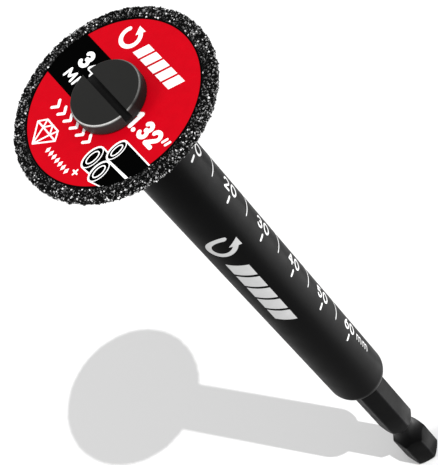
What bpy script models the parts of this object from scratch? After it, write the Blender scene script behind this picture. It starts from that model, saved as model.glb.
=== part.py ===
"""Drill-driven internal pipe cutter with a diamond-grit disc.

A hex shank is pressed into the rear of a round barrel.  A hexagonal nose on the barrel's
front shoulder drives a thin steel disc, and a slotted screw in the nose's tapped hole
clamps it.  Grit is bonded round the disc's rim, and a printed label covers its face.

Frame: +Z runs along the tool from the shank's end face to the disc.  The origin is the
centre of that end face, and a corner of the hex shank points along +X.  The disc and its
nose are turned about the axis, so that the label reads along READING_ANGLE.
"""
import math

import bmesh
import bpy
from mathutils import Matrix

MM = 0.001

# Driving dimensions
FIT_GAP = 0.10 * MM              # clearance between touching pieces
READING_ANGLE = math.radians(-73.5)   # the disc's hex corners and the screw's slot lie along it
SHANK_FLATS = 6.30 * MM          # across flats, for a 1/4 inch hex chuck
SHANK_EXPOSED = 36.8 * MM
SHANK_CHAMFER = 0.8 * MM
CHAMFER_STEEPNESS = 0.8          # rise of the end chamfer for each unit of depth
STUB_LENGTH = 14.0 * MM          # round stub hidden in the barrel
STUB_RADIUS = 3.0 * MM
GROOVE_HEIGHT = 13.2 * MM        # centre of the chuck's ball groove
GROOVE_HALF_WIDTH = 4.2 * MM
GROOVE_NECK_RADIUS = 2.40 * MM

BARREL_RADIUS = 5.70 * MM
BARREL_FRONT = 139.2 * MM        # height of the shoulder that the disc sits on
BARREL_FRONT_CHAMFER = 0.35 * MM
BARREL_REAR_ROUND = 3.6 * MM     # radius of the barrel's rounded rear edge
REAR_FACE_RADIUS = 3.9 * MM      # flat left round the shank
NOSE_FLATS = 7.00 * MM
NOSE_HEIGHT = 1.0 * MM
TAPPED_DEPTH = 12.0 * MM         # from the nose's end face
DRILL_POINT = 1.2 * MM           # cone left by the drill at the hole's bottom

DISC_RADIUS = 17.0 * MM
DISC_THICKNESS = 1.0 * MM
DISC_BORE_FLATS = 7.20 * MM
GRIT_WIDTH = 2.10 * MM           # radial width of the grit band
GRIT_DEPTH = 0.35 * MM           # grit beyond the edge of the steel
GRIT_PROUD = 0.15 * MM           # grit above each face of the steel
GRIT_ROUNDING = 0.35 * MM        # worn corner of the grit band
GRIT_GAP = 0.05 * MM
LABEL_RADIUS = 14.82 * MM
LABEL_THICKNESS = 0.10 * MM
LABEL_GAP = 0.05 * MM

THREAD_PITCH = 0.80 * MM         # M5
THREAD_MAJOR = 2.50 * MM
THREAD_DEPTH = 0.43 * MM
THREAD_CLEARANCE = 0.13 * MM
FLANK_SLOPE = 1.2                # above 1, the thread has flat crests and roots
ROOT_FLAT = 0.1
SCREW_LENGTH = 9.3 * MM          # below the head
SCREW_TIP_CHAMFER = 0.5 * MM
HEAD_RADIUS = 5.95 * MM
HEAD_HEIGHT = 2.40 * MM
HEAD_CHAMFER = 0.35 * MM
SLOT_WIDTH = 1.25 * MM
SLOT_DEPTH = 1.5 * MM

# Mesh fineness
ROUND_SEGMENTS = 64
THREAD_SEGMENTS = 16
SHANK_SEGMENTS = 36
ROWS_PER_PITCH = 4
ARC_STEPS = 8
GROOVE_STEPS = 10
CORNER_STEPS = 2
SHARP_ANGLE = math.radians(32)
OVERHANG = 1.0 * MM              # how far a cutting body reaches past the surface

# Heights that follow
DISC_BACK = BARREL_FRONT + FIT_GAP
DISC_FACE = DISC_BACK + DISC_THICKNESS
LABEL_BACK = DISC_FACE + LABEL_GAP
LABEL_FACE = LABEL_BACK + LABEL_THICKNESS
HEAD_SEAT = LABEL_FACE + FIT_GAP
NOSE_TOP = BARREL_FRONT + NOSE_HEIGHT


def corner_radius(flats):
    """Return the corner radius of a hexagon from its size across flats."""
    return flats / math.sqrt(3)


def arc(centre, radius, start, end, steps=ARC_STEPS):
    """Return (radius, height) points along an arc, both angles in degrees."""
    points = []
    for step in range(steps + 1):
        angle = math.radians(start + (end - start) * step / steps)
        points.append((centre[0] + radius * math.cos(angle), centre[1] + radius * math.sin(angle)))
    return points


def thread_radius(crest, height, angle):
    """Return the radius of a right-hand V thread whose crest radius is given."""
    phase = (height - THREAD_PITCH * angle / math.tau) / THREAD_PITCH % 1.0
    wave = abs(2.0 * phase - 1.0)
    return crest - THREAD_DEPTH + THREAD_DEPTH * min(1.0, max(0.0, FLANK_SLOPE * wave - ROOT_FLAT))


def thread_rows(crest, bottom, top):
    """Return rows for a threaded stretch; each row's radius is a function of the angle."""
    count = round((top - bottom) / THREAD_PITCH * ROWS_PER_PITCH)
    rows = []
    for row in range(count + 1):
        height = bottom + (top - bottom) * row / count
        rows.append((lambda angle, z=height: thread_radius(crest, z, angle), height))
    return rows


def ring_of(bm, radius, height, segments):
    """Add one ring of vertices, or a single pole where the radius is zero."""
    if radius == 0:
        return [bm.verts.new((0, 0, height))]
    ring = []
    for segment in range(segments):
        angle = math.tau * segment / segments
        reach = radius(angle) if callable(radius) else radius
        ring.append(bm.verts.new((reach * math.cos(angle), reach * math.sin(angle), height)))
    return ring


def bridge(bm, lower, upper, segments):
    """Join two neighbouring rings, either of which may be a pole."""
    for segment in range(segments):
        after = (segment + 1) % segments
        if len(lower) == 1:
            bm.faces.new((lower[0], upper[after], upper[segment]))
        elif len(upper) == 1:
            bm.faces.new((lower[segment], lower[after], upper[0]))
        else:
            bm.faces.new((lower[segment], lower[after], upper[after], upper[segment]))


def turned_mesh(name, profile, segments=ROUND_SEGMENTS, closed_ring=False):
    """Turn a profile of (radius, height) points, listed upwards, into a closed mesh."""
    bm = bmesh.new()
    rings = [ring_of(bm, radius, height, segments) for radius, height in profile]
    for lower, upper in zip(rings, rings[1:]):
        bridge(bm, lower, upper, segments)
    if closed_ring:
        bridge(bm, rings[-1], rings[0], segments)
    return finish_mesh(name, bm)


def hex_mesh(name, flats, bottom, top, angle=0):
    """Make a hexagonal prism with a corner at the given angle from +X."""
    bm = bmesh.new()
    placed = Matrix.Translation((0, 0, (bottom + top) / 2))
    bmesh.ops.create_cone(bm, cap_ends=True, segments=6, radius1=corner_radius(flats),
                          radius2=corner_radius(flats), depth=top - bottom, matrix=placed)
    to_corner = Matrix.Rotation(math.pi / 2 + angle, 4, "Z")
    bmesh.ops.transform(bm, matrix=to_corner, verts=bm.verts)
    return finish_mesh(name, bm)


def box_mesh(name, size, centre, angle):
    """Make a box with the given size and centre, turned about Z."""
    bm = bmesh.new()
    placed = Matrix.Translation(centre) @ Matrix.Rotation(angle, 4, "Z") @ Matrix.Diagonal((*size, 1))
    bmesh.ops.create_cube(bm, size=1, matrix=placed)
    return finish_mesh(name, bm)


def finish_mesh(name, bm):
    """Turn the faces outwards and write the mesh."""
    bmesh.ops.recalc_face_normals(bm, faces=bm.faces)
    mesh = bpy.data.meshes.new(name)
    bm.to_mesh(mesh)
    bm.free()
    mesh.shade_smooth()
    mesh.set_sharp_from_angle(angle=SHARP_ANGLE)
    return mesh


def material(name, colour, roughness, metallic):
    """Make a plain Principled material."""
    made = bpy.data.materials.new(name)
    made.use_nodes = True
    shader = made.node_tree.nodes["Principled BSDF"]
    shader.inputs["Base Color"].default_value = (*colour, 1)
    shader.inputs["Roughness"].default_value = roughness
    shader.inputs["Metallic"].default_value = metallic
    return made


def add_piece(mesh, finish, parent=None):
    """Place a mesh as a named piece of the tool."""
    piece = bpy.data.objects.new(mesh.name, mesh)
    bpy.context.collection.objects.link(piece)
    mesh.materials.append(finish)
    piece.parent = parent
    return piece


def shape_with(piece, mesh, operation):
    """Combine a piece with a hidden tool body by a Boolean modifier."""
    tool = bpy.data.objects.new(mesh.name, mesh)
    bpy.context.collection.objects.link(tool)
    tool.hide_render = True
    tool.display_type = "WIRE"
    tool.parent = piece.parent
    modifier = piece.modifiers.new(mesh.name, "BOOLEAN")
    modifier.operation = operation
    modifier.solver = "EXACT"
    modifier.object = tool


def add_axis(name, parent=None):
    """Add an empty on the tool's axis to carry a moving body."""
    empty = bpy.data.objects.new(name, None)
    bpy.context.collection.objects.link(empty)
    empty.parent = parent
    return empty


def make_barrel():
    """Round barrel with a rounded rear edge, a hex nose, a rear socket and a tapped hole."""
    round_centre = (BARREL_RADIUS - BARREL_REAR_ROUND, SHANK_EXPOSED + BARREL_REAR_ROUND)
    lowest = -math.degrees(math.acos((REAR_FACE_RADIUS - round_centre[0]) / BARREL_REAR_ROUND))
    rear_face = round_centre[1] + BARREL_REAR_ROUND * math.sin(math.radians(lowest))
    profile = [(0, rear_face)]
    profile += arc(round_centre, BARREL_REAR_ROUND, lowest, 0)
    profile += [(BARREL_RADIUS, BARREL_FRONT - BARREL_FRONT_CHAMFER),
                (BARREL_RADIUS - BARREL_FRONT_CHAMFER, BARREL_FRONT), (0, BARREL_FRONT)]
    finish = material("black_anodised", (0.011, 0.011, 0.012), 0.38, 0.85)
    barrel = add_piece(turned_mesh("barrel", profile), finish)

    nose = hex_mesh("nose_hex", NOSE_FLATS, BARREL_FRONT - OVERHANG, NOSE_TOP, READING_ANGLE)
    shape_with(barrel, nose, "UNION")

    socket_radius = STUB_RADIUS + FIT_GAP
    socket_end = SHANK_EXPOSED + STUB_LENGTH + FIT_GAP
    socket = [(0, 0), (socket_radius, 0), (socket_radius, socket_end), (0, socket_end)]
    shape_with(barrel, turned_mesh("rear_socket", socket, SHANK_SEGMENTS), "DIFFERENCE")

    hole_end = NOSE_TOP - TAPPED_DEPTH
    crest = THREAD_MAJOR + THREAD_CLEARANCE
    hole = [(0, hole_end - DRILL_POINT), (crest - THREAD_DEPTH, hole_end)]
    hole += thread_rows(crest, hole_end + THREAD_PITCH, NOSE_TOP + THREAD_PITCH)
    hole += [(0, NOSE_TOP + THREAD_PITCH)]
    shape_with(barrel, turned_mesh("tapped_hole", hole, THREAD_SEGMENTS), "DIFFERENCE")
    return barrel


def make_shank():
    """Hex bar with a chamfered end, a turned ball groove and a round stub."""
    depth = corner_radius(SHANK_FLATS) - GROOVE_NECK_RADIUS
    groove_radius = (GROOVE_HALF_WIDTH ** 2 + depth ** 2) / (2 * depth)
    half_angle = math.degrees(math.asin(GROOVE_HALF_WIDTH / groove_radius))
    clear = corner_radius(SHANK_FLATS) + OVERHANG
    shoulder = SHANK_EXPOSED - FIT_GAP
    stub_end = SHANK_EXPOSED + STUB_LENGTH
    end_radius = corner_radius(SHANK_FLATS) - SHANK_CHAMFER
    rise = (clear - end_radius) * CHAMFER_STEEPNESS
    envelope = [(0, 0), (end_radius, 0), (clear, rise)]
    groove_centre = (GROOVE_NECK_RADIUS + groove_radius, GROOVE_HEIGHT)
    groove = arc(groove_centre, groove_radius, 180 + half_angle, 180 - half_angle, GROOVE_STEPS)
    envelope += [(clear, groove[0][1])] + groove + [(clear, groove[-1][1])]
    envelope += [(clear, shoulder), (STUB_RADIUS, shoulder), (STUB_RADIUS, stub_end), (0, stub_end)]
    finish = material("black_steel", (0.016, 0.016, 0.017), 0.34, 0.9)
    bar = hex_mesh("hex_shank", SHANK_FLATS, -OVERHANG, stub_end + OVERHANG)
    shank = add_piece(bar, finish)
    shape_with(shank, turned_mesh("shank_envelope", envelope, SHANK_SEGMENTS), "INTERSECT")
    return shank


def make_disc_core(parent):
    """Thin steel disc with a hexagonal bore."""
    radius = DISC_RADIUS - GRIT_DEPTH - GRIT_GAP
    profile = [(0, DISC_BACK), (radius, DISC_BACK), (radius, DISC_FACE), (0, DISC_FACE)]
    finish = material("plated_steel", (0.03, 0.03, 0.032), 0.4, 0.9)
    core = add_piece(turned_mesh("disc_core", profile), finish, parent)
    bore = hex_mesh("core_bore", DISC_BORE_FLATS, DISC_BACK - OVERHANG, DISC_FACE + OVERHANG,
                    READING_ANGLE)
    shape_with(core, bore, "DIFFERENCE")
    return core


def make_grit_rim(parent):
    """Ring of bonded grit that wraps the disc's edge, with a channel for the steel."""
    inner = DISC_RADIUS - GRIT_WIDTH
    channel = DISC_RADIUS - GRIT_DEPTH
    low = DISC_BACK - GRIT_PROUD
    high = DISC_FACE + GRIT_PROUD
    corner = DISC_RADIUS - GRIT_ROUNDING
    profile = [(channel, DISC_BACK - GRIT_GAP), (inner, DISC_BACK - GRIT_GAP), (inner, low)]
    profile += arc((corner, low + GRIT_ROUNDING), GRIT_ROUNDING, -90, 0, CORNER_STEPS)
    profile += arc((corner, high - GRIT_ROUNDING), GRIT_ROUNDING, 0, 90, CORNER_STEPS)
    profile += [(inner, high), (inner, DISC_FACE + GRIT_GAP), (channel, DISC_FACE + GRIT_GAP)]
    finish = material("bonded_grit", (0.02, 0.02, 0.02), 0.7, 0.3)
    return add_piece(turned_mesh("grit_rim", profile, closed_ring=True), finish, parent)


def make_label(parent):
    """Thin printed film on the disc's front face."""
    profile = [(0, LABEL_BACK), (LABEL_RADIUS, LABEL_BACK), (LABEL_RADIUS, LABEL_FACE), (0, LABEL_FACE)]
    finish = material("printed_film", (0.73, 0.004, 0.012), 0.35, 0.0)
    label = add_piece(turned_mesh("face_label", profile), finish, parent)
    bore = hex_mesh("label_bore", DISC_BORE_FLATS, LABEL_BACK - OVERHANG, LABEL_FACE + OVERHANG,
                    READING_ANGLE)
    shape_with(label, bore, "DIFFERENCE")
    return label


def make_clamp_screw(parent):
    """Large-headed slotted screw with a right-hand M5 thread."""
    tip = HEAD_SEAT - SCREW_LENGTH
    root = THREAD_MAJOR - THREAD_DEPTH
    profile = [(0, tip), (root - SCREW_TIP_CHAMFER / 2, tip)]
    profile += thread_rows(THREAD_MAJOR, tip + SCREW_TIP_CHAMFER, HEAD_SEAT - THREAD_PITCH)
    profile += [(root, HEAD_SEAT - THREAD_PITCH / 2), (root, HEAD_SEAT)]
    profile += [(0, HEAD_SEAT + HEAD_HEIGHT / 4)]       # ends inside the head
    threaded = turned_mesh("screw_shaft", profile, THREAD_SEGMENTS)

    top = HEAD_SEAT + HEAD_HEIGHT
    round_centre = (HEAD_RADIUS - HEAD_CHAMFER, top - HEAD_CHAMFER)
    head = [(0, HEAD_SEAT), (HEAD_RADIUS - HEAD_CHAMFER / 2, HEAD_SEAT),
            (HEAD_RADIUS, HEAD_SEAT + HEAD_CHAMFER / 2)]
    head += arc(round_centre, HEAD_CHAMFER, 0, 90, CORNER_STEPS * 2) + [(0, top)]
    finish = material("black_oxide", (0.022, 0.022, 0.021), 0.42, 0.8)
    screw = add_piece(turned_mesh("clamp_screw", head), finish, parent)
    shape_with(screw, threaded, "UNION")
    slot_size = (4 * HEAD_RADIUS, SLOT_WIDTH, 2 * SLOT_DEPTH)
    shape_with(screw, box_mesh("driver_slot", slot_size, (0, 0, top), READING_ANGLE), "DIFFERENCE")
    return screw


def main():
    """Build the whole tool."""
    for leftover in list(bpy.data.objects):
        bpy.data.objects.remove(leftover, do_unlink=True)
    make_barrel()
    make_shank()
    disc_axis = add_axis("disc_axis")
    make_disc_core(disc_axis)
    make_grit_rim(disc_axis)
    make_label(disc_axis)
    screw_axis = add_axis("screw_axis", disc_axis)
    make_clamp_screw(screw_axis)


main()
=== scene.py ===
"""Looks of a drill-driven internal pipe cutter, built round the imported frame.

The tool lies along +Z.  Its label and its side prints are laid out flat, in millimetres, with
x along the reading direction and y towards the top of the lettering, and then put in place.
"""
import math
import random

import bmesh
import bpy
from mathutils import Matrix, Vector, noise


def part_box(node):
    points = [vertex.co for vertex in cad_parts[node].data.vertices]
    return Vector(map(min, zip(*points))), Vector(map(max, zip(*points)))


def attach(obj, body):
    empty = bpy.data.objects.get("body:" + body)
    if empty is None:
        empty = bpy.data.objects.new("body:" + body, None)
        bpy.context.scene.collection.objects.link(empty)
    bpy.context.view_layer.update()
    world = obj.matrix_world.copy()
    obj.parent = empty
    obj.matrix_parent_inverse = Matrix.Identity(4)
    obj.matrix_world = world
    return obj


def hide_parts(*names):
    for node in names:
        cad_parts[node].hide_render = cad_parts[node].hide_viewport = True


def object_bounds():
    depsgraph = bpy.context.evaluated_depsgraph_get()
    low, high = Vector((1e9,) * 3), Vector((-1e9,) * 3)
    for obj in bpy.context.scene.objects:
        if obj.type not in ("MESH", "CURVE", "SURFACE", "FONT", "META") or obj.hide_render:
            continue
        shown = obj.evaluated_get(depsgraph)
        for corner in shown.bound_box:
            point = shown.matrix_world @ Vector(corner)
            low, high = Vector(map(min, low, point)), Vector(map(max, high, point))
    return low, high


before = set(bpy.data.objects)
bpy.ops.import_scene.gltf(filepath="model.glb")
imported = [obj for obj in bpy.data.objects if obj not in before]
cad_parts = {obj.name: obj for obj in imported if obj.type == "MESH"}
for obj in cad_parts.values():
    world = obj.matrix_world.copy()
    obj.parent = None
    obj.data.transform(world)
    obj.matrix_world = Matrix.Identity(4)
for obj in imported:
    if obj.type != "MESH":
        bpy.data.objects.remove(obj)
cad_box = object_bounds()

MM = 0.001
READING = math.radians(-73.5)     # direction in which the label reads; the slot lies along it

# Camera, floor and lights
CAMERA_PLACE = Vector((50.6, -177.5, 330.3)) * MM
CAMERA_TARGET = Vector((-1.3, -0.35, 100.15)) * MM
CAMERA_ROLL = math.radians(-42.11)
LENS = 137.1
SUN_AZIMUTH = math.radians(-39.5)
SUN_ELEVATION = math.radians(62.0)
FLOOR_ALBEDO = 0.72
FLOOR_REACH = 3.0                  # metres from the middle to each edge
SKY_STRENGTH = 0.79
SUN_STRENGTH = 2.4
SUN_ANGLE = math.radians(0.4)
SOFTBOX_AZIMUTH = math.radians(180.0)
SOFTBOX_ELEVATION = math.radians(42.0)
SOFTBOX_DISTANCE = 400 * MM
SOFTBOX_SIZE = 110 * MM
SOFTBOX_POWER = 0.5
PANEL_AZIMUTH = math.radians(-9.0)  # low panels that the tool's right side mirrors
PANEL_HEIGHT = 0.5 * MM
PANELS = (                         # near edge, far edge and width in mm, power in W/m2
    (4, 35, 34, 6.0),
    (35, 75, 80, 10.3),
    (75, 130, 130, 22.0),
)

# Colours
COATING_BLACK = (0.0015, 0.0015, 0.0016)
LABEL_RED = (0.46, 0.0010, 0.0068)
BLACK_INK = (0.0005, 0.0005, 0.0005)
WHITE_INK = (0.86, 0.86, 0.86)
GREY_INK = (0.52, 0.52, 0.52)

# Meshes
SMOOTH_LIMIT = math.radians(35)    # edges sharper than this stay sharp
SCREW_SMOOTH_LIMIT = math.radians(28)
CORNER_SPREAD = 6.5                # degrees each side of a hexagon's corner with dense points

# Barrel
SHOULDER_TO_NOSE = 1.0 * MM
NOSE_FLATS = 7.00 * MM
REAR_ROUND = 3.6 * MM
REAR_FACE_RADIUS = 3.9 * MM
FRONT_EDGE = 0.35 * MM
NOSE_CORNER = 0.15 * MM
NOSE_EDGE = 0.12 * MM
SOCKET_CHAMFER = 0.25 * MM
SOCKET_RADIUS = 3.1 * MM
SOCKET_DEPTH = 14.1 * MM
TAPPED_DEPTH = 12.0 * MM
DRILL_POINT = 1.2 * MM
HOLE_CREST = 2.63 * MM
HOLE_CHAMFER = 0.15 * MM

# Shank
SHANK_FLATS = 6.30 * MM
SHANK_EDGE = 0.20 * MM             # radius of the hex bar's long edges
SHANK_CHAMFER = 0.8 * MM
CHAMFER_STEEPNESS = 0.8
GROOVE_HEIGHT = 13.2 * MM
GROOVE_HALF_WIDTH = 4.2 * MM
GROOVE_NECK = 2.40 * MM
SHOULDER_GAP = 0.1 * MM            # the hex bar ends this far from the barrel
STUB_RADIUS = 3.0 * MM
STUB_CHAMFER = 0.3 * MM
CREASE = 0.07 * MM                 # half width of the worn strip along a crease

# Disc
BORE_FLATS = 7.20 * MM
BORE_CORNER = 0.1 * MM
CORE_EDGE = 0.08 * MM
FILM_EDGE = 0.02 * MM
BORDER = 0.27 * MM                 # width of the black line round the label
GRIT_WIDTH = 2.10 * MM
GRIT_DEPTH = 0.35 * MM
GRIT_GAP = 0.05 * MM
GRIT_ROUNDING = 0.35 * MM
GRIT_BUMPS = 0.24 * MM             # depth of the bonding layer's bumps
COARSE_BUMP = 0.8 * MM
FINE_BUMP = 0.28 * MM
GRAINS = 7500
GRAIN_SIZE = (0.06 * MM, 0.20 * MM)
TONE_POWER = 2.8                   # the higher, the fewer bright grains
# a share of larger grains coloured near white, standing in for glints: painted glints
SPARKLE_SHARE = 0.038
SPARKLE_SIZE = (0.13 * MM, 0.24 * MM)
SPARKLE_TONE = 1.5
INK = 0.02 * MM                    # thickness of printed ink
INK_STEP = 0.0020                  # millimetres between strokes that cross
LEVEL_STEP = 0.4 * INK             # between shapes that lie on each other
WRAP_STEP = 0.3                    # millimetres round the barrel between a print's cuts

# Screw
HEAD_HEIGHT = 2.40 * MM
HEAD_ROUND = 0.45 * MM
SEAT_EDGE = 0.2 * MM
SLOT_EDGE = 0.09 * MM
SLOT_WIDTH = 1.25 * MM
SLOT_DEPTH = 1.5 * MM
# centre of the painted highlight on the screw head's rim and of the painted light on its side wall
HIGHLIGHT_AZIMUTH = math.radians(238.0)
THREAD_PITCH = 0.80 * MM
THREAD_MAJOR = 2.50 * MM
THREAD_DEPTH = 0.43 * MM
THREAD_SLOPE = 1.2                 # steeper than 1 leaves a flat crest
THREAD_ROOT = 0.1                  # more than 0 leaves a flat root

barrel_low, barrel_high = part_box("barrel")
shank_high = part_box("hex_shank")[1]
core_low, core_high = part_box("disc_core")
rim_low, rim_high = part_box("grit_rim")
label_low, label_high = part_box("face_label")
screw_low, screw_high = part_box("clamp_screw")

BARREL_RADIUS = barrel_high.x
SHOULDER = barrel_high.z - SHOULDER_TO_NOSE
RIM_RADIUS = rim_high.x
LABEL_RADIUS = label_high.x
LABEL_TOP = label_high.z
HEAD_RADIUS = screw_high.x
HEAD_TOP = screw_high.z
HEAD_SEAT = HEAD_TOP - HEAD_HEIGHT


# ---------------------------------------------------------------- meshes

def arc(x, y, rx, ry, start, end, steps=10):
    """Return points along an elliptical arc, angles in degrees."""
    points = []
    for step in range(steps + 1):
        angle = math.radians(start + (end - start) * step / steps)
        points.append((x + rx * math.cos(angle), y + ry * math.sin(angle)))
    return points


def hex_radius(flats, rounding=0.0, turn=0.0):
    """Return the radius of a hexagon with rounded corners, as a function of the angle."""
    def radius(angle):
        off = (angle - turn) % (math.pi / 3) - math.pi / 6      # 0 in the middle of a flat
        flat = flats / 2 / math.cos(off)
        if rounding == 0:
            return flat
        centre = (flats / 2 - rounding) / math.cos(math.pi / 6)
        from_corner = math.pi / 6 - abs(off)
        across = centre * math.sin(from_corner)
        if abs(off) < math.atan(math.tan(math.pi / 6) * (flats / 2 - rounding) / (flats / 2)):
            return flat
        return centre * math.cos(from_corner) + math.sqrt(max(0, rounding ** 2 - across ** 2))
    return radius


def even_angles(count):
    """Return evenly spaced angles."""
    return [math.tau * step / count for step in range(count)]


def hex_angles(per_flat, per_corner, turn=0.0):
    """Return angles that are dense at a hexagon's corners."""
    between = 60 - 2 * CORNER_SPREAD
    angles = []
    for side in range(6):
        corner = turn + side * math.pi / 3
        for step in range(-per_corner, per_corner + 1):
            angles.append(corner + math.radians(CORNER_SPREAD) * step / per_corner)
        for step in range(1, per_flat):
            angles.append(corner + math.radians(CORNER_SPREAD + between * step / per_flat))
    return angles


def value(size, angle):
    """Return a size that may depend on the angle."""
    return size(angle) if callable(size) else size


def lathe(name, rows, angles, closed=False):
    """Make a closed turned mesh; a row's radius and height may be functions of the angle."""
    bm = bmesh.new()
    rings = []
    for radius, height in rows:
        if radius == 0:
            rings.append([bm.verts.new((0, 0, height))])
            continue
        ring = []
        for angle in angles:
            reach = value(radius, angle)
            ring.append(bm.verts.new((reach * math.cos(angle), reach * math.sin(angle),
                                      value(height, angle))))
        rings.append(ring)
    pairs = list(zip(rings, rings[1:])) + ([(rings[-1], rings[0])] if closed else [])
    for lower, upper in pairs:
        for step in range(len(angles)):
            after = (step + 1) % len(angles)
            if len(lower) == 1:
                bm.faces.new((lower[0], upper[after], upper[step]))
            elif len(upper) == 1:
                bm.faces.new((lower[step], lower[after], upper[0]))
            else:
                bm.faces.new((lower[step], lower[after], upper[after], upper[step]))
    return finish_mesh(name, bm)


def finish_mesh(name, bm):
    """Turn the faces outwards, write the mesh and shade it smooth up to an angle."""
    bmesh.ops.recalc_face_normals(bm, faces=bm.faces)
    mesh = bpy.data.meshes.new(name)
    bm.to_mesh(mesh)
    bm.free()
    mesh.shade_smooth()
    mesh.set_sharp_from_angle(angle=SMOOTH_LIMIT)
    return mesh


def add_piece(mesh, finish, body, node=None):
    """Put a mesh in the scene, riding on a body and standing for a CAD node."""
    piece = bpy.data.objects.new(mesh.name, mesh)
    bpy.context.scene.collection.objects.link(piece)
    mesh.materials.append(finish)
    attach(piece, body)
    if node:
        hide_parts(node)
    return piece


def thread_radius(crest, height, angle):
    """Return the radius of a right-hand V thread with flat crests."""
    phase = (height - THREAD_PITCH * angle / math.tau) / THREAD_PITCH % 1.0
    wave = abs(2.0 * phase - 1.0)
    share = min(1.0, max(0.0, THREAD_SLOPE * wave - THREAD_ROOT))
    return crest - THREAD_DEPTH + THREAD_DEPTH * share


def thread_rows(crest, bottom, top, per_pitch=12):
    """Return rows for a threaded stretch."""
    count = round((top - bottom) / THREAD_PITCH * per_pitch)
    rows = []
    for row in range(count + 1):
        height = bottom + (top - bottom) * row / count
        rows.append((lambda angle, z=height: thread_radius(crest, z, angle), height))
    return rows


# ---------------------------------------------------------------- materials

def new_material(name, colour, roughness, metallic=0.0, specular=0.5):
    """Make a Principled material and return it with its tree and shader."""
    made = bpy.data.materials.new(name)
    made.use_nodes = True
    shader = made.node_tree.nodes["Principled BSDF"]
    shader.inputs["Base Color"].default_value = (*colour, 1)
    shader.inputs["Roughness"].default_value = roughness
    shader.inputs["Metallic"].default_value = metallic
    shader.inputs["Specular IOR Level"].default_value = specular
    return made, made.node_tree, shader


def object_place(tree, stretch=(1, 1, 1)):
    """Return the object coordinates, stretched along the axes."""
    place = tree.nodes.new("ShaderNodeTexCoord")
    mapping = tree.nodes.new("ShaderNodeMapping")
    mapping.inputs["Scale"].default_value = stretch
    tree.links.new(place.outputs["Object"], mapping.inputs["Vector"])
    return mapping.outputs["Vector"]


def noise_of(tree, grain, detail=4.0, stretch=(1, 1, 1)):
    """Return a noise whose features are about `grain` metres wide."""
    made = tree.nodes.new("ShaderNodeTexNoise")
    made.inputs["Scale"].default_value = 1.0 / grain
    made.inputs["Detail"].default_value = detail
    tree.links.new(object_place(tree, stretch), made.inputs["Vector"])
    return made.outputs["Fac"]


def spread(tree, source, low, high, start=0.3, end=0.7):
    """Map a source from start..end to low..high, without going past them."""
    made = tree.nodes.new("ShaderNodeMapRange")
    made.inputs["From Min"].default_value = start
    made.inputs["From Max"].default_value = end
    made.inputs["To Min"].default_value = low
    made.inputs["To Max"].default_value = high
    tree.links.new(source, made.inputs["Value"])
    return made.outputs["Result"]


def maths(tree, first, second, operation="MULTIPLY"):
    """Combine two sources, or a source and a number, by a maths operation."""
    made = tree.nodes.new("ShaderNodeMath")
    made.operation = operation
    for socket, source in zip(made.inputs, (first, second)):
        if isinstance(source, (int, float)):
            socket.default_value = source
        else:
            tree.links.new(source, socket)
    return made.outputs["Value"]


def mixed(tree, share, first, second):
    """Mix a colour over a first one, which may be a source, by a share."""
    made = tree.nodes.new("ShaderNodeMix")
    made.data_type = "RGBA"
    amount, below, over = made.inputs[0], made.inputs[6], made.inputs[7]
    if isinstance(first, tuple):
        below.default_value = (*first, 1)
    else:
        tree.links.new(first, below)
    over.default_value = (*second, 1)
    tree.links.new(share, amount)
    return made.outputs[2]


def bumped(tree, shader, height, distance):
    """Bump the surface by a source, with the given depth in metres."""
    made = tree.nodes.new("ShaderNodeBump")
    made.inputs["Strength"].default_value = 1.0
    made.inputs["Distance"].default_value = distance
    tree.links.new(height, made.inputs["Height"])
    tree.links.new(made.outputs["Normal"], shader.inputs["Normal"])


def height_near(tree, height, reach):
    """Return 1 at a height along the tool, falling to 0 at `reach` from it."""
    split = tree.nodes.new("ShaderNodeSeparateXYZ")
    tree.links.new(object_place(tree), split.inputs["Vector"])
    off = maths(tree, split.outputs["Z"], height, "SUBTRACT")
    off = maths(tree, off, 0.0, "ABSOLUTE")
    return spread(tree, off, 1.0, 0.0, 0.0, reach)


def from_axis(tree):
    """Return the distance from the tool's axis."""
    vector = tree.nodes.new("ShaderNodeVectorMath")
    vector.operation = "LENGTH"
    tree.links.new(object_place(tree, (1, 1, 0)), vector.inputs[0])
    return vector.outputs["Value"]


def away_from_axis(tree, low, high):
    """Return 0 at a distance `low` from the tool's axis, rising to 1 at `high`."""
    return spread(tree, from_axis(tree), 0.0, 1.0, low, high)


def towards(tree, azimuth, low, high):
    """Return 0 at a distance `low` from the axis towards an azimuth, rising to 1 at `high`."""
    vector = tree.nodes.new("ShaderNodeVectorMath")
    vector.operation = "DOT_PRODUCT"
    vector.inputs[1].default_value = (math.cos(azimuth), math.sin(azimuth), 0)
    tree.links.new(object_place(tree), vector.inputs[0])
    return spread(tree, vector.outputs["Value"], 0.0, 1.0, low, high)


def in_slot(tree):
    """Return 1 between the slot's walls, in its lower part, and 0 elsewhere."""
    outside = SLOT_WIDTH / 2 + 0.05 * MM
    inside = SLOT_WIDTH / 2 + 0.02 * MM
    left = towards(tree, READING + math.pi / 2, outside, inside)
    right = towards(tree, READING - math.pi / 2, outside, inside)
    deep = height_near(tree, HEAD_TOP - SLOT_DEPTH, 1.1 * MM)
    return maths(tree, maths(tree, left, right), deep)


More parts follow.
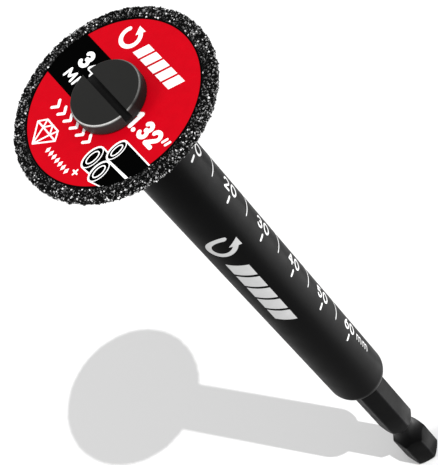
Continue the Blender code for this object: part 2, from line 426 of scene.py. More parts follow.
def barrel_material():
    """Satin black coating over turned steel, slightly scuffed at the front edge."""
    made, tree, shader = new_material("barrel_black", COATING_BLACK, 0.4, 0.0, 0.018)
    grain = noise_of(tree, 0.12 * MM, 3, (1, 1, 0.6))
    patches = noise_of(tree, 4.0 * MM, 3)
    turned = noise_of(tree, 0.25 * MM, 2, (0.02, 0.02, 1))
    rough = maths(tree, spread(tree, patches, 0.34, 0.42), spread(tree, grain, -0.02, 0.03), "ADD")
    tree.links.new(rough, shader.inputs["Roughness"])
    specks = spread(tree, grain, 0.0, 1.0, 0.5, 0.62)
    wear_and_highlight = maths(tree, height_near(tree, SHOULDER, 0.5 * MM), specks)
    tree.links.new(mixed(tree, wear_and_highlight, COATING_BLACK, (0.05, 0.05, 0.052)), shader.inputs["Base Color"])
    surface = maths(tree, turned, maths(tree, grain, 0.6), "ADD")
    bumped(tree, shader, surface, 0.004 * MM)
    return made


def shank_material():
    """Black oxide on drawn hex bar, with scuffed long edges."""
    made, tree, shader = new_material("shank_black", COATING_BLACK, 0.4, 0.0, 0.015)
    grain = noise_of(tree, 0.10 * MM, 3)
    drawn = noise_of(tree, 0.15 * MM, 2, (1, 1, 0.03))
    patches = noise_of(tree, 3.0 * MM, 3)
    tree.links.new(spread(tree, patches, 0.32, 0.46), shader.inputs["Roughness"])
    corner = away_from_axis(tree, 3.48 * MM, 3.60 * MM)
    wear_and_highlight_share = maths(tree, corner, spread(tree, grain, 0.1, 1.0, 0.42, 0.6))
    tree.links.new(mixed(tree, wear_and_highlight_share, COATING_BLACK, (0.02, 0.02, 0.021)), shader.inputs["Base Color"])
    bumped(tree, shader, maths(tree, drawn, grain, "ADD"), 0.004 * MM)
    return made


def steel_material():
    """Dark plated sheet steel with faint turning marks."""
    made, tree, shader = new_material("disc_steel", (0.03, 0.03, 0.032), 0.42, 0.6, 0.5)
    rings = tree.nodes.new("ShaderNodeTexNoise")
    rings.noise_dimensions = "1D"
    rings.inputs["Scale"].default_value = 1.0 / (0.12 * MM)
    rings.inputs["Detail"].default_value = 3.0
    tree.links.new(from_axis(tree), rings.inputs["W"])
    patches = noise_of(tree, 2.5 * MM, 4)
    tree.links.new(spread(tree, patches, 0.34, 0.52), shader.inputs["Roughness"])
    darker, lighter = (0.022, 0.022, 0.024), (0.045, 0.045, 0.047)
    coloured = mixed(tree, spread(tree, patches, 0.0, 1.0), darker, lighter)
    tree.links.new(coloured, shader.inputs["Base Color"])
    bumped(tree, shader, rings.outputs["Fac"], 0.006 * MM)
    return made


def grit_material(name, dark, light, roughness, specular):
    """Bonded grit whose grains each have a tone of their own."""
    made, tree, shader = new_material(name, dark, roughness, 0.0, specular)
    tone = tree.nodes.new("ShaderNodeAttribute")
    tone.attribute_name = "tone"
    dust = noise_of(tree, 0.8 * MM, 4)
    share = maths(tree, tone.outputs["Fac"], spread(tree, dust, 0.15, 1.0))
    tree.links.new(mixed(tree, share, dark, light), shader.inputs["Base Color"])
    tree.links.new(spread(tree, dust, roughness - 0.1, roughness + 0.15), shader.inputs["Roughness"])
    bumped(tree, shader, noise_of(tree, 0.08 * MM, 4), 0.02 * MM)
    return made


def film_material(name, colour, roughness=0.36, specular=0.02, border=False):
    """Printed film: ink under a thin clear layer, faintly mottled, with or without a border."""
    made, tree, shader = new_material(name, colour, roughness, 0.0, specular)
    mottle = noise_of(tree, 1.6 * MM, 4)
    fine = noise_of(tree, 0.12 * MM, 3)
    darker = tuple(channel * 0.93 for channel in colour)
    coloured = mixed(tree, spread(tree, mottle, 0.0, 1.0), colour, darker)
    if border:
        edge = away_from_axis(tree, LABEL_RADIUS - BORDER - 0.03 * MM, LABEL_RADIUS - BORDER)
        coloured = mixed(tree, edge, coloured, BLACK_INK)
    tree.links.new(coloured, shader.inputs["Base Color"])
    tree.links.new(spread(tree, mottle, roughness - 0.04, roughness + 0.06), shader.inputs["Roughness"])
    bumped(tree, shader, fine, 0.002 * MM)
    return made


def screw_material():
    """Matt black oxide, with a painted highlight on two stretches of the head's rim, painted light on
    one stretch of its side wall and painted shade in the lower part of the slot.
    """
    body = (0.0106, 0.0106, 0.0101)
    # paler colour for one stretch of the head's side wall: painted light where it faces the lamps
    side = (0.034, 0.034, 0.033)
    # near-white colour for the painted highlight along the head's rim
    wear_and_highlight = (0.85, 0.85, 0.83)
    # near-black colour for painted shade in the lower part of the slot
    shaded = (0.002, 0.002, 0.002)
    made, tree, shader = new_material("screw_black", body, 0.5, 0.0, 0.1)
    grain = noise_of(tree, 0.10 * MM, 4)
    patches = noise_of(tree, 1.8 * MM, 4)
    # mask of the painted highlight: full towards the highlight's azimuth, about a third on the +x side,
    # only on the rounded rim at the top, broken up by fine noise
    lower = towards(tree, HIGHLIGHT_AZIMUTH, 0.35 * HEAD_RADIUS, 0.85 * HEAD_RADIUS)
    right = maths(tree, towards(tree, 0.0, 0.5 * HEAD_RADIUS, HEAD_RADIUS), 0.35)
    highlight_sides = maths(tree, lower, right, "MAXIMUM")
    rim = away_from_axis(tree, HEAD_RADIUS - 0.30 * MM, HEAD_RADIUS - 0.22 * MM)
    edge = maths(tree, rim, height_near(tree, HEAD_TOP, 0.30 * MM))
    wear_and_highlight_share = maths(tree, maths(tree, edge, highlight_sides), spread(tree, grain, 0.45, 1.0, 0.35, 0.6))
    # the same side of the head's side wall gets the paler colour: painted light
    wall = maths(tree, away_from_axis(tree, HEAD_RADIUS - 0.12 * MM, HEAD_RADIUS - 0.04 * MM), lower)
    coloured = mixed(tree, wear_and_highlight_share, mixed(tree, wall, body, side), wear_and_highlight)
    # the lower part of the slot is painted near-black: painted shade
    tree.links.new(mixed(tree, in_slot(tree), coloured, shaded), shader.inputs["Base Color"])
    tree.links.new(spread(tree, patches, 0.44, 0.56), shader.inputs["Roughness"])
    bumped(tree, shader, grain, 0.004 * MM)
    return made


# ---------------------------------------------------------------- metal pieces

def make_barrel():
    """Barrel with its nose, tapped hole and rear socket, as one turned surface."""
    rear = barrel_low.z
    centre_radius = BARREL_RADIUS - REAR_ROUND
    lowest = math.acos((REAR_FACE_RADIUS - centre_radius) / REAR_ROUND)
    centre_height = rear + REAR_ROUND * math.sin(lowest)
    socket_end = rear + SOCKET_DEPTH
    rows = [(0, socket_end), (SOCKET_RADIUS, socket_end), (SOCKET_RADIUS, rear + SOCKET_CHAMFER),
            (SOCKET_RADIUS + SOCKET_CHAMFER, rear)]
    rows += arc(centre_radius, centre_height, REAR_ROUND, REAR_ROUND, -math.degrees(lowest), 0, 24)
    side = SHOULDER - FRONT_EDGE - centre_height
    rows += [(BARREL_RADIUS, centre_height + side * step / 12) for step in range(1, 12)]
    rows += arc(BARREL_RADIUS - FRONT_EDGE, SHOULDER - FRONT_EDGE, FRONT_EDGE, FRONT_EDGE, 0, 90, 6)
    nose = hex_radius(NOSE_FLATS, NOSE_CORNER, READING)
    nose_top = barrel_high.z
    rows += [(nose, SHOULDER), (nose, nose_top - NOSE_EDGE)]
    rows += [(lambda angle: nose(angle) - NOSE_EDGE, nose_top)]
    rows += [(HOLE_CREST + HOLE_CHAMFER, nose_top), (HOLE_CREST, nose_top - HOLE_CHAMFER)]
    hole_end = nose_top - TAPPED_DEPTH
    threads = thread_rows(HOLE_CREST, hole_end + THREAD_PITCH, nose_top - 2 * HOLE_CHAMFER)
    rows += reversed(threads)
    rows += [(HOLE_CREST - THREAD_DEPTH, hole_end), (0, hole_end - DRILL_POINT)]
    mesh = lathe("barrel_body", rows, hex_angles(12, 3, READING))
    add_piece(mesh, barrel_material(), "mandrel", "barrel")


def make_shank():
    """Hex bar with a chamfered end, a turned ball groove and a round stub."""
    flats = hex_radius(SHANK_FLATS, SHANK_EDGE)
    corner = SHANK_FLATS / math.sqrt(3)
    depth = corner - GROOVE_NECK
    groove = (GROOVE_HALF_WIDTH ** 2 + depth ** 2) / (2 * depth)
    end_radius = corner - SHANK_CHAMFER

    def chamfer_height(angle, off=0.0):
        return max(0, (flats(angle) - end_radius)) * CHAMFER_STEEPNESS + off

    def groove_half(angle, off=0.0):
        reach = GROOVE_NECK + groove - flats(angle)
        return math.sqrt(groove ** 2 - reach ** 2) + off

    def groove_row(share):
        def height(angle):
            return GROOVE_HEIGHT + share * groove_half(angle, -CREASE)

        def radius(angle):
            off = share * groove_half(angle, -CREASE)
            return GROOVE_NECK + groove - math.sqrt(groove ** 2 - off ** 2)
        return radius, height

    def end_edge(angle):
        return min(flats(angle), end_radius + CREASE * 0.7)

    def chamfer_top(angle):
        return max(CREASE, chamfer_height(angle, -CREASE * 0.4))

    shoulder = barrel_low.z - SHOULDER_GAP
    rows = [(0, 0), (end_radius - CREASE, 0), (end_edge, CREASE * 0.6)]
    rows += [(lambda a: flats(a) - CREASE * 0.5, chamfer_top)]
    rows += [(flats, lambda a: chamfer_height(a, CREASE * 1.6))]
    rows += [(flats, share * GROOVE_HEIGHT) for share in (0.3, 0.5)]
    rows += [(flats, lambda a: GROOVE_HEIGHT - groove_half(a, CREASE))]
    rows += [groove_row(step / 12) for step in range(-12, 13)]
    rows += [(flats, lambda a: GROOVE_HEIGHT + groove_half(a, CREASE))]
    rows += [(flats, GROOVE_HEIGHT + (shoulder - GROOVE_HEIGHT) * share) for share in (0.4, 0.6, 0.8)]
    rows += [(flats, shoulder - SHOULDER_GAP), (lambda a: flats(a) - SHOULDER_GAP, shoulder)]
    stub_end = shank_high.z
    rows += [(STUB_RADIUS, shoulder), (STUB_RADIUS, stub_end - STUB_CHAMFER)]
    rows += [(STUB_RADIUS - STUB_CHAMFER, stub_end), (0, stub_end)]
    mesh = lathe("shank_body", rows, hex_angles(10, 4))
    add_piece(mesh, shank_material(), "mandrel", "hex_shank")


def make_screw():
    """Slotted screw: the head is cut and its edges rounded before the thread is joined."""
    rows = [(0, HEAD_SEAT), (HEAD_RADIUS - SEAT_EDGE, HEAD_SEAT), (HEAD_RADIUS, HEAD_SEAT + SEAT_EDGE)]
    rows += arc(HEAD_RADIUS - HEAD_ROUND, HEAD_TOP - HEAD_ROUND, HEAD_ROUND, HEAD_ROUND, 0, 90, 8)
    rows += [(0, HEAD_TOP)]
    head = add_piece(lathe("screw_body", rows, even_angles(160)), screw_material(), "screw",
                     "clamp_screw")
    cut = bmesh.new()
    placed = (Matrix.Translation((0, 0, HEAD_TOP)) @ Matrix.Rotation(READING, 4, "Z")
              @ Matrix.Diagonal((4 * HEAD_RADIUS, SLOT_WIDTH, 2 * SLOT_DEPTH, 1)))
    bmesh.ops.create_cube(cut, size=1, matrix=placed)
    tip = screw_low.z
    root = THREAD_MAJOR - THREAD_DEPTH
    shaft = [(0, tip), (root - 0.25 * MM, tip)]
    shaft += thread_rows(THREAD_MAJOR, tip + 0.5 * MM, HEAD_SEAT - THREAD_PITCH)
    shaft += [(root, HEAD_SEAT - THREAD_PITCH / 2), (root, HEAD_SEAT)]
    shaft += [(0, HEAD_SEAT + HEAD_HEIGHT / 4)]
    combine(head, finish_mesh("slot_cut", cut), "DIFFERENCE")
    bevel = head.modifiers.new("edges", "BEVEL")
    bevel.width = SLOT_EDGE
    bevel.segments = 3
    bevel.limit_method = "ANGLE"
    bevel.angle_limit = math.radians(40)
    apply_modifiers(head)
    combine(head, lathe("shaft_cut", shaft, even_angles(96)), "UNION")
    head.data.shade_smooth()
    head.data.set_sharp_from_angle(angle=SCREW_SMOOTH_LIMIT)


def combine(piece, mesh, operation):
    """Add an exact Boolean with a temporary mesh, and apply it."""
    other = bpy.data.objects.new(mesh.name, mesh)
    bpy.context.scene.collection.objects.link(other)
    modifier = piece.modifiers.new(mesh.name, "BOOLEAN")
    modifier.operation = operation
    modifier.solver = "EXACT"
    modifier.object = other
    apply_modifiers(piece)
    bpy.data.objects.remove(other)


def apply_modifiers(piece):
    """Keep the mesh that the modifiers make."""
    bpy.context.view_layer.update()
    evaluated = piece.evaluated_get(bpy.context.evaluated_depsgraph_get())
    made = bpy.data.meshes.new_from_object(evaluated)
    piece.modifiers.clear()
    piece.data = made


def make_core():
    """Sheet-steel disc with a hexagonal bore."""
    outer = core_high.x
    edge = CORE_EDGE
    bore = hex_radius(BORE_FLATS, BORE_CORNER, READING)
    low, high = core_low.z, core_high.z
    rows = [(bore, low + edge), (lambda a: bore(a) + edge, low)]
    rows += [(radius * MM, low) for radius in (6, 10, 14)]
    rows += [(outer - edge, low), (outer, low + edge), (outer, high - edge), (outer - edge, high)]
    rows += [(radius * MM, high) for radius in (14, 10, 6)]
    rows += [(lambda a: bore(a) + edge, high), (bore, high - edge)]
    mesh = lathe("disc_plate", rows, hex_angles(12, 3, READING), closed=True)
    add_piece(mesh, steel_material(), "disc", "disc_core")


# ---------------------------------------------------------------- grit

def grit_profile():
    """Return the outline of the grit band's section, from its inner edge below to above."""
    low, high = rim_low.z, rim_high.z
    inner = RIM_RADIUS - GRIT_WIDTH
    corner = RIM_RADIUS - GRIT_ROUNDING
    points = [(inner + (corner - inner) * step / 8, low) for step in range(8)]
    points += arc(corner, low + GRIT_ROUNDING, GRIT_ROUNDING, GRIT_ROUNDING, -90, 0, 4)
    points += [(RIM_RADIUS, low + (high - low) * share) for share in (0.4, 0.5, 0.6)]
    points += arc(corner, high - GRIT_ROUNDING, GRIT_ROUNDING, GRIT_ROUNDING, 0, 90, 4)
    points += [(corner - (corner - inner) * step / 8, high) for step in range(1, 9)]
    return points


def bump_height(place):
    """Return how far the grit's surface stands out at a place: two sizes of noise."""
    coarse = noise.noise(place / COARSE_BUMP)
    fine = noise.noise(place / FINE_BUMP)
    return GRIT_BUMPS * (0.7 * coarse + 0.6 * fine)


def roughen(mesh, inner):
    """Push the outer surface of the grit in and out."""
    mesh.update()
    for vertex in mesh.vertices:
        if math.hypot(vertex.co.x, vertex.co.y) > inner:
            vertex.co += vertex.normal * bump_height(vertex.co)


def make_grit():
    """Bonding layer of the grit, wrapped round the steel's edge."""
    outline = grit_profile()
    channel = RIM_RADIUS - GRIT_DEPTH
    inner = RIM_RADIUS - GRIT_WIDTH
    rows = [(channel, core_low.z - GRIT_GAP), (inner, core_low.z - GRIT_GAP)]
    rows += outline
    rows += [(inner, core_high.z + GRIT_GAP), (channel, core_high.z + GRIT_GAP)]
    mesh = lathe("grit_layer", rows, even_angles(560), closed=True)
    roughen(mesh, inner + 0.1 * MM)
    finish = grit_material("grit_bond", (0.002, 0.002, 0.002), (0.02, 0.02, 0.02), 0.5, 0.012)
    add_piece(mesh, finish, "disc", "grit_rim")


def grain_mesh(bm, tone_layer, place, size, tone, rng):
    """Add one irregular crystal of the given tone."""
    turn = rng.uniform(0, math.tau)
    axis = Vector((rng.uniform(-1, 1), rng.uniform(-1, 1), rng.uniform(-1, 1) + 0.01))
    turned = Matrix.Rotation(turn, 3, axis.normalized())
    corners = []
    for way in range(3):
        for side in (-1, 1):
            corner = Vector((0, 0, 0))
            corner[way] = side * size * rng.uniform(0.7, 1.15)
            corner[(way + 1) % 3] = size * rng.uniform(-0.35, 0.35)
            vertex = bm.verts.new(place + turned @ corner)
            vertex[tone_layer] = tone
            corners.append(vertex)
    for x in (0, 1):
        for y in (2, 3):
            for z in (4, 5):
                face = (corners[x], corners[y], corners[z])
                bm.faces.new(face if (x + y + z) % 2 == 0 else face[::-1])


def make_grains():
    """Thousands of crystals, half sunk in the bonding layer."""
    rng = random.Random(7)
    outline = grit_profile()
    lengths = [math.dist(a, b) for a, b in zip(outline, outline[1:])]
    bm = bmesh.new()
    tone_layer = bm.verts.layers.float.new("tone")
    for _ in range(GRAINS):
        index = rng.choices(range(len(lengths)), lengths)[0]
        share = rng.random()
        (r0, z0), (r1, z1) = outline[index], outline[index + 1]
        radius, height = r0 + (r1 - r0) * share, z0 + (z1 - z0) * share
        angle = rng.uniform(0, math.tau)
        place = Vector((radius * math.cos(angle), radius * math.sin(angle), height))
        out, up = (z1 - z0) / lengths[index], (r0 - r1) / lengths[index]
        place += Vector((out * math.cos(angle), out * math.sin(angle), up)) * bump_height(place)
        outwards = (radius - RIM_RADIUS + GRIT_WIDTH) / GRIT_WIDTH
        size = rng.uniform(*GRAIN_SIZE)
        tone = (0.3 + 0.8 * outwards) * rng.random() ** TONE_POWER
        # these larger grains get a near-white tone: painted glints
        if rng.random() < SPARKLE_SHARE:
            size = rng.uniform(*SPARKLE_SIZE)
            tone = SPARKLE_TONE
        grain_mesh(bm, tone_layer, place, size, tone, rng)
    mesh = bpy.data.meshes.new("grit_grains")
    bmesh.ops.recalc_face_normals(bm, faces=bm.faces)
    bm.to_mesh(mesh)
    bm.free()
    finish = grit_material("grit_grain", (0.003, 0.003, 0.0032), (0.9, 0.9, 0.9), 0.25, 0.12)
    add_piece(mesh, finish, "disc", None)


# ---------------------------------------------------------------- flat prints

def add_outline(bm, points, level=0.0):
    """Add one filled outline."""
    bm.faces.new([bm.verts.new((x, y, level)) for x, y in points])


def add_ribbon(bm, points, width, closed=False):
    """Add a line with round ends, or a closed ring; each lies a hair above the one before."""
    count = len(points)
    level = (len(bm.faces) % 7) * INK_STEP
    sides = ([], [])
    for index, (x, y) in enumerate(points):
        before = points[index - 1] if closed or index else points[0]
        after = points[(index + 1) % count] if closed or index < count - 1 else points[-1]
        along = math.atan2(after[1] - before[1], after[0] - before[0])
        for side, sign in zip(sides, (1, -1)):
            turn = along + sign * math.pi / 2
            place = (x + width / 2 * math.cos(turn), y + width / 2 * math.sin(turn), level)
            side.append(bm.verts.new(place))
    left, right = sides
    for index in range(count if closed else count - 1):
        after = (index + 1) % count
        bm.faces.new((left[index], left[after], right[after], right[index]))
    if not closed:
        for end, sign in ((0, -1), (count - 1, 1)):
            near = points[1] if end == 0 else points[-2]
            along = math.atan2(points[end][1] - near[1], points[end][0] - near[0])
            cap = arc(*points[end], width / 2, width / 2, math.degrees(along) - 90,
                      math.degrees(along) + 90, 6)[1:-1]
            ends = (right[end], left[end]) if sign > 0 else (left[end], right[end])
            bm.faces.new([ends[0]] + [bm.verts.new((x, y, level)) for x, y in cap] + [ends[1]])


GLYPH_WIDTHS = {"0": 0.62, "1": 0.34, "2": 0.58, "3": 0.56, "4": 0.66, "5": 0.58, "6": 0.60,
                "m": 0.95, "M": 0.92, ".": 0.10, "i": 0.42}


def glyph(character):
    """Return the strokes of a character in a cell one unit high; i stands for the inch mark."""
    wide = GLYPH_WIDTHS[character]
    mid = wide / 2
    if character == "0":
        return [arc(mid, 0.5, mid, 0.5, 0, 354, 28) + [(wide, 0.5)]]
    if character == "1":
        return [[(0.02, 0.80), (wide, 1.0)], [(wide, 1.0), (wide, 0.0)]]
    if character == "2":
        return [arc(mid, 0.70, mid, 0.30, 170, -38, 14) + [(0.0, 0.0)], [(0.0, 0.0), (wide, 0.0)]]
    if character == "3":
        return [arc(mid, 0.76, mid * 0.9, 0.24, 160, -90, 14), arc(mid, 0.27, mid, 0.27, 90, -160, 14)]
    if character == "4":
        return [[(0.74 * wide, 0.0), (0.74 * wide, 1.0)], [(0.74 * wide, 1.0), (0.0, 0.26)],
                [(0.0, 0.26), (wide, 0.26)]]
    if character == "5":
        return [[(0.92 * wide, 1.0), (0.14 * wide, 1.0)], [(0.14 * wide, 1.0), (0.06 * wide, 0.56)],
                arc(mid, 0.32, mid, 0.32, 130, -150, 16)]
    if character == "6":
        return [[(0.8 * wide, 1.0), (0.35 * wide, 0.75)] + arc(mid, 0.32, mid, 0.32, 160, 130, 3),
                arc(mid, 0.31, mid, 0.31, 0, 352, 24) + [(wide, 0.31)]]
    if character == "M":
        return [[(0, 0), (0.08, 1.0)], [(0.08, 1.0), (mid, 0.25)], [(mid, 0.25), (wide - 0.08, 1.0)],
                [(wide - 0.08, 1.0), (wide, 0.0)]]
    if character == "m":
        bow = wide / 4
        return [[(0, 0), (0, 1.0)], arc(bow, 0.62, bow, 0.38, 180, 0, 8) + [(mid, 0.0)],
                arc(mid + bow, 0.62, bow, 0.38, 180, 0, 8) + [(wide, 0.0)]]
    if character == "i":
        return [[(0.0, 0.72), (0.08, 1.0)], [(0.30, 0.72), (0.38, 1.0)]]
    return [[(0.0, 0.0), (0.03, 0.0)]]


def add_lettering(bm, text, box, stroke, gap):
    """Fit a row of characters in a box (left, right, bottom, top)."""
    left, right, bottom, top = box
    total = sum(GLYPH_WIDTHS[character] for character in text) + gap * (len(text) - 1)
    scale_x = (right - left - stroke) / total
    scale_y = top - bottom - stroke
    start = left + stroke / 2
    for character in text:
        for line in glyph(character):
            points = [(start + x * scale_x, bottom + stroke / 2 + y * scale_y) for x, y in line]
            add_ribbon(bm, points, stroke)
        start += (GLYPH_WIDTHS[character] + gap) * scale_x


def solid_print(bm, thickness):
    """Give the flat shapes a thickness, in millimetres."""
    made = bmesh.ops.extrude_face_region(bm, geom=bm.faces[:])
    for item in made["geom"]:
        if isinstance(item, bmesh.types.BMVert):
            item.co.z += thickness


def place_on_label(name, bm, finish, level=0):
    """Lay shapes on the label's face; each level lies a little higher."""
    solid_print(bm, INK / MM)
    bottom = LABEL_TOP - INK / 2 + level * LEVEL_STEP
    placed = Matrix.Translation((0, 0, bottom)) @ Matrix.Rotation(READING, 4, "Z") @ Matrix.Scale(MM, 4)
    bmesh.ops.transform(bm, matrix=placed, verts=bm.verts)
    add_piece(finish_mesh(name, bm), finish, "disc", None)


def wrap_on_barrel(name, bm, finish, azimuth, height):
    """Wrap shapes round the barrel; x runs down the tool and y round it."""
    reach = math.ceil(max(abs(vertex.co.y) for vertex in bm.verts) / WRAP_STEP)
    for step in range(-reach, reach + 1):
        bmesh.ops.bisect_plane(bm, geom=bm.verts[:] + bm.edges[:] + bm.faces[:],
                               plane_co=(0, step * WRAP_STEP, 0), plane_no=(0, 1, 0))
    bmesh.ops.triangulate(bm, faces=bm.faces)
    solid_print(bm, INK / MM)
    for vertex in bm.verts:
        angle = azimuth + vertex.co.y * MM / BARREL_RADIUS
        radius = BARREL_RADIUS - INK / 2 + vertex.co.z * MM
        vertex.co = (radius * math.cos(angle), radius * math.sin(angle), height - vertex.co.x * MM)
    add_piece(finish_mesh(name, bm), finish, "mandrel", None)


# ---------------------------------------------------------------- label

# Layout of the prints, in millimetres from the label's middle
BAND_SIDES = (4.15, -4.25)
BAND_POINT = 0.65                  # how far the band's point lies past the bore
SIZE_TEXTS = (                     # text, box (left, right, bottom, top), stroke, gap
    ("34", (-11.2, -6.1, -0.15, 2.95), 0.74, 0.40),
    ("MM", (-11.2, -6.2, -2.9, -0.95), 0.44, 0.36),
    ("1.32", (5.0, 12.4, -0.95, 2.3), 0.74, 0.38),
    ("i", (12.7, 14.2, -0.95, 2.3), 0.42, 0.0),
)
ARROW = ((-7.3, 8.6), 1.7, 0.75)   # centre, radius, stroke
ARROW_START = 60                   # degrees, for both turning arrows
ARROW_SWEEP = 270
BARS = (-4.6, 7.2, 2.6, 1.75, 0.45, 5, 1.0)   # left, bottom, height, width, gap, count, slant
CHEVRONS = 6
CHEVRON_START = (-7.5, -5.75)
CHEVRON_REACH = 0.8
CHEVRON_DROPS = (0.85, 1.65)
CHEVRON_PITCH = 1.95
CHEVRON_STROKE = 0.5
LOZENGES = 7
LOZENGE_START = (-1.4, -12.0)
LOZENGE_HALF = (0.36, 0.6)
LOZENGE_PITCH = 0.95
PLUS = (5.7, -11.1, 0.5, 0.28)     # middle, half length, stroke
GEM_STROKE = 0.27
PIPES = (                          # middle of the near end, its half width and height, drop
    (5.9, -7.75, 1.15, 2.0, 0.5),
    (8.1, -4.4, 0.95, 1.8, 0.4),
    (8.85, -8.4, 1.1, 1.9, 0.7),
)
PIPE_EDGE = 0.24
PIPE_BORE = (0.55, 0.62)           # shares of the near end's width and height
PIPE_STROKES = (0.16, 0.2)         # round the near end, round the bore


def make_label(red):
    """The film itself, with its hexagonal hole."""
    bore = hex_radius(BORE_FLATS, BORE_CORNER, READING)
    low, high = label_low.z, LABEL_TOP
    edge = FILM_EDGE
    rows = [(bore, low), (LABEL_RADIUS, low), (LABEL_RADIUS, high - edge), (LABEL_RADIUS - edge, high)]
    rows += [(radius * MM, high) for radius in (12, 9, 6)]
    rows += [(lambda a: bore(a) + edge, high), (bore, high - edge)]
    mesh = lathe("label_film", rows, hex_angles(14, 3, READING), closed=True)
    add_piece(mesh, red, "disc", "face_label")


def make_band(black):
    """Black band from the label's left edge to a point past the bore."""
    reach = (LABEL_RADIUS - FILM_EDGE) / MM
    bore = BORE_FLATS / MM / math.sqrt(3)
    point = bore + BAND_POINT
    bm = bmesh.new()
    for top in BAND_SIDES:
        angle = math.degrees(math.asin(abs(top) / reach))
        edge = arc(0, 0, reach, reach, 180, 180 - math.copysign(angle, top), 8)
        beside = math.copysign(bore * 0.866, top)
        corners = [(point - abs(top) / math.sqrt(3), top), (point, 0), (bore, 0)]
        corners += [(bore / 2, beside), (-bore / 2, beside), (-bore, 0)]
        add_outline(bm, edge + corners)
    place_on_label("print_band", bm, black)


def make_sizes(white):
    """The disc's size, in millimetres and in inches."""
    bm = bmesh.new()
    for text, box, stroke, gap in SIZE_TEXTS:
        add_lettering(bm, text, box, stroke, gap)
    place_on_label("print_sizes", bm, white, 1)


def make_arrow(bm, centre, size, width):
    """Add a turning arrow: an open ring with a head."""
    add_ribbon(bm, arc(*centre, size, size, ARROW_START, ARROW_START - ARROW_SWEEP, 30), width)
    tip = math.radians(ARROW_START)
    x, y = centre[0] + size * math.cos(tip), centre[1] + size * math.sin(tip)
    half = width * 1.15
    out_x, out_y = half * math.cos(tip), half * math.sin(tip)
    point = (x - out_y * 1.7, y + out_x * 1.7)
    add_outline(bm, [(x + out_x, y + out_y), point, (x - out_x, y - out_y)], 8 * INK_STEP)


def make_bars(bm, left, bottom, height, width, gap, count, slant):
    """Add a row of slanted bars."""
    for index in range(count):
        x = left + index * (width + gap)
        add_outline(bm, [(x, bottom), (x + width, bottom), (x + width + slant, bottom + height),
                         (x + slant, bottom + height)])


def make_emblem(white):
    """A plain turning arrow and five slanted bars in the label's upper part."""
    bm = bmesh.new()
    make_arrow(bm, *ARROW)
    make_bars(bm, *BARS)
    place_on_label("print_emblem", bm, white, 1)


def make_chevrons(white):
    """A row of chevrons under the band."""
    bm = bmesh.new()
    for index in range(CHEVRONS):
        x, top = CHEVRON_START[0] + index * CHEVRON_PITCH, CHEVRON_START[1]
        point = (x + CHEVRON_REACH, top - CHEVRON_DROPS[0])
        add_ribbon(bm, [(x, top), point], CHEVRON_STROKE)
        add_ribbon(bm, [point, (x, top - CHEVRON_DROPS[1])], CHEVRON_STROKE)
    place_on_label("print_chevrons", bm, white, 1)


def make_gem(white):
    """A cut stone drawn in lines, and a row of small lozenges beside it."""
    girdle = -10.35
    left, right, tip = (-7.3, girdle), (-1.8, girdle), (-4.55, -13.2)
    top = [(-6.2, -9.05), (-2.9, -9.05)]
    inner = [(-5.6, girdle), (-3.5, girdle)]
    bm = bmesh.new()
    middle = ((top[0][0] + top[1][0]) / 2, top[0][1])
    lines = [(left, top[0]), (top[0], top[1]), (top[1], right), (right, tip), (tip, left),
             (left, right), (top[0], inner[0]), (top[1], inner[1]), (inner[0], tip), (inner[1], tip),
             (inner[0], middle), (inner[1], middle)]
    for line in lines:
        add_ribbon(bm, line, GEM_STROKE)
    wide, high = LOZENGE_HALF
    for index in range(LOZENGES):
        x, y = LOZENGE_START[0] + index * LOZENGE_PITCH, LOZENGE_START[1]
        add_outline(bm, [(x - wide, y), (x, y - high), (x + wide, y), (x, y + high)])
    x, y, half, stroke = PLUS
    add_ribbon(bm, [(x - half, y), (x + half, y)], stroke)
    add_ribbon(bm, [(x, y - half), (x, y + half)], stroke)
    place_on_label("print_gem", bm, white, 1)


def pipe_outline(x, y, half_wide, half_high, drop):
    """Return the outline of a pipe that runs from its near end to the label's edge."""
    reach = LABEL_RADIUS / MM - 0.05
    near = arc(x, y, half_wide, half_high, 90, 270, 16)
    far = []
    for start, fall in ((y - half_high, drop), (y + half_high, drop * 0.3)):
        end = start + fall
        far.append((math.sqrt(reach ** 2 - end ** 2), end))
    return near + far


def make_pipes(white, black):
    """Three pipes drawn in black with white outlines."""
    for index, (x, y, half_wide, half_high, drop) in enumerate(PIPES):
        level = 1 + index * 2
        bm = bmesh.new()
        add_outline(bm, pipe_outline(x, y, half_wide + PIPE_EDGE, half_high + PIPE_EDGE, drop))
        place_on_label(f"print_pipe_edge_{index}", bm, white, level)
        bm = bmesh.new()
        add_outline(bm, pipe_outline(x, y, half_wide, half_high, drop))
        place_on_label(f"print_pipe_{index}", bm, black, level + 1)
        bm = bmesh.new()
        add_ribbon(bm, arc(x, y, half_wide, half_high, 0, 352, 30), PIPE_STROKES[0], closed=True)
        bore = arc(x, y, half_wide * PIPE_BORE[0], half_high * PIPE_BORE[1], 0, 348, 24)
        add_ribbon(bm, bore, PIPE_STROKES[1], closed=True)
        place_on_label(f"print_pipe_end_{index}", bm, white, level + 2)


# ---------------------------------------------------------------- prints on the barrel

# Layout in millimetres: x from the label's face down the barrel, y round it
SCALE_AZIMUTH = math.radians(-29.0)
SCALE_START = 3.42
SCALE_PITCH = 13.23
DASH = (-1.35, -0.40, 0.50)        # start, end, stroke
HALF_LINE = (-0.25, 25, 0.22)      # start, points, stroke
DIGITS = (2.35, 0.35, 2.25)        # half width, baseline, height
DIGIT_STROKE = 0.37
DIGIT_GAP = 0.34
SCALE_UNIT = ("mm", (86.5, 92.0, 0.4, 1.7), 0.2, 0.45)
SIDE_AZIMUTH = math.radians(-102.5)
SIDE_ARROW = ((37.6, 0.1), 2.3, 1.05)
SIDE_BARS = (42.8, -1.75, 3.4, 3.6, 0.75, 5, 2.2)


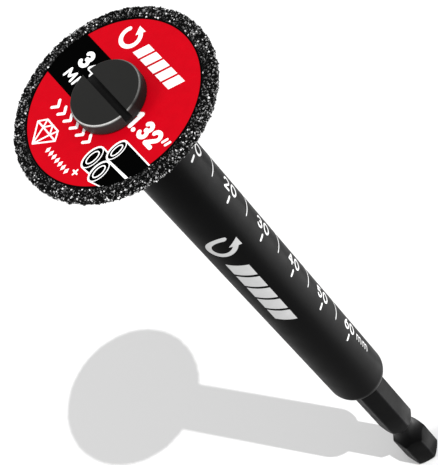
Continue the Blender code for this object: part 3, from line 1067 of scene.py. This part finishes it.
def make_scale(white):
    """Numbered depth marks, with thin lines half way between them."""
    dash_start, dash_end, dash_stroke = DASH
    line_start, line_points, line_stroke = HALF_LINE
    half_width, baseline, height = DIGITS
    bm = bmesh.new()
    for number in range(1, 7):
        x = SCALE_START + SCALE_PITCH * number
        add_ribbon(bm, [(x, dash_start), (x, dash_end)], dash_stroke)
        box = (x - half_width, x + half_width, baseline, baseline + height)
        add_lettering(bm, f"{number}0", box, DIGIT_STROKE, DIGIT_GAP)
        if number < 6:
            half = x + SCALE_PITCH / 2
            line = [(half, line_start + WRAP_STEP * step) for step in range(line_points)]
            add_ribbon(bm, line, line_stroke)
    add_lettering(bm, *SCALE_UNIT)
    wrap_on_barrel("print_scale", bm, white, SCALE_AZIMUTH, LABEL_TOP)


def make_side_emblem(grey):
    """A plain turning arrow and slanted bars along the barrel."""
    bm = bmesh.new()
    make_arrow(bm, *SIDE_ARROW)
    make_bars(bm, *SIDE_BARS)
    wrap_on_barrel("print_side_emblem", bm, grey, SIDE_AZIMUTH, LABEL_TOP)


# ---------------------------------------------------------------- stage

def make_floor():
    """A wide pale floor under the shank's end."""
    bm = bmesh.new()
    bmesh.ops.create_grid(bm, x_segments=8, y_segments=8, size=FLOOR_REACH)
    mesh = finish_mesh("floor", bm)
    pale = new_material("floor_pale", (FLOOR_ALBEDO,) * 3, 1.0, 0.0, 0.0)[0]
    floor = bpy.data.objects.new("floor", mesh)
    mesh.materials.append(pale)
    bpy.context.scene.collection.objects.link(floor)
    floor.location.z = cad_box[0][2]


def make_sky():
    """Even pale surroundings."""
    world = bpy.data.worlds.new("studio")
    bpy.context.scene.world = world
    world.use_nodes = True
    sky = world.node_tree.nodes["Background"]
    sky.inputs["Color"].default_value = (1, 1, 1, 1)
    sky.inputs["Strength"].default_value = SKY_STRENGTH


def direction(azimuth, elevation):
    """Return the unit vector towards an azimuth and an elevation."""
    level = math.cos(elevation)
    return Vector((level * math.cos(azimuth), level * math.sin(azimuth), math.sin(elevation)))


def add_light(name, kind):
    """Add a light, and return it with its data."""
    light = bpy.data.lights.new(name, kind)
    placed = bpy.data.objects.new(name, light)
    bpy.context.scene.collection.objects.link(placed)
    return placed, light


def make_sun():
    """The key light, which throws the shadow on the floor."""
    sun, light = add_light("key", "SUN")
    light.energy = SUN_STRENGTH
    light.angle = SUN_ANGLE
    aim = direction(SUN_AZIMUTH, SUN_ELEVATION)
    sun.rotation_euler = aim.to_track_quat("Z", "Y").to_euler()


def make_softbox():
    """A soft light from the left; the screw head throws its shadow to the right."""
    softbox, light = add_light("softbox", "AREA")
    light.shape = "SQUARE"
    light.size = SOFTBOX_SIZE
    light.energy = SOFTBOX_POWER
    aim = direction(SOFTBOX_AZIMUTH, SOFTBOX_ELEVATION)
    softbox.location = Vector((0, 0, LABEL_TOP)) + aim * SOFTBOX_DISTANCE
    softbox.rotation_euler = aim.to_track_quat("Z", "Y").to_euler()
    softbox.visible_camera = False


def make_panel(near, far, width, power):
    """A soft panel close to the floor, which the tool's right side mirrors."""
    panel, light = add_light("panel", "AREA")
    light.shape = "RECTANGLE"
    light.size = (far - near) * MM
    light.size_y = width * MM
    light.energy = power * light.size * light.size_y
    middle = (near + far) / 2 * MM
    panel.location = (middle * math.cos(PANEL_AZIMUTH), middle * math.sin(PANEL_AZIMUTH), PANEL_HEIGHT)
    panel.rotation_euler = (math.pi, 0, PANEL_AZIMUTH)
    panel.visible_camera = False


def make_camera():
    """Camera at the viewing angle, rolled so that the tool lies across the picture."""
    camera = bpy.data.objects.new("camera", bpy.data.cameras.new("camera"))
    bpy.context.scene.collection.objects.link(camera)
    camera.data.lens = LENS
    camera.data.sensor_width = 36.0
    camera.data.clip_start = 0.01
    aimed = (CAMERA_TARGET - CAMERA_PLACE).to_track_quat("-Z", "Y").to_matrix().to_4x4()
    camera.matrix_world = Matrix.Translation(CAMERA_PLACE) @ aimed @ Matrix.Rotation(CAMERA_ROLL, 4, "Z")
    bpy.context.scene.camera = camera


def main():
    """Build the looks."""
    red = film_material("label_red_film", LABEL_RED, border=True)
    black = film_material("label_black_ink", BLACK_INK, specular=0.005)
    white = film_material("label_white_ink", WHITE_INK)
    grey = film_material("barrel_grey_ink", GREY_INK, 0.5)
    make_barrel()
    make_shank()
    make_core()
    make_grit()
    make_grains()
    make_label(red)
    make_band(black)
    make_sizes(white)
    make_emblem(white)
    make_chevrons(white)
    make_gem(white)
    make_pipes(white, black)
    make_screw()
    make_scale(white)
    make_side_emblem(grey)
    make_floor()
    make_sky()
    make_sun()
    make_softbox()
    for panel in PANELS:
        make_panel(*panel)
    make_camera()
    bpy.context.scene.view_settings.view_transform = "Standard"


main()
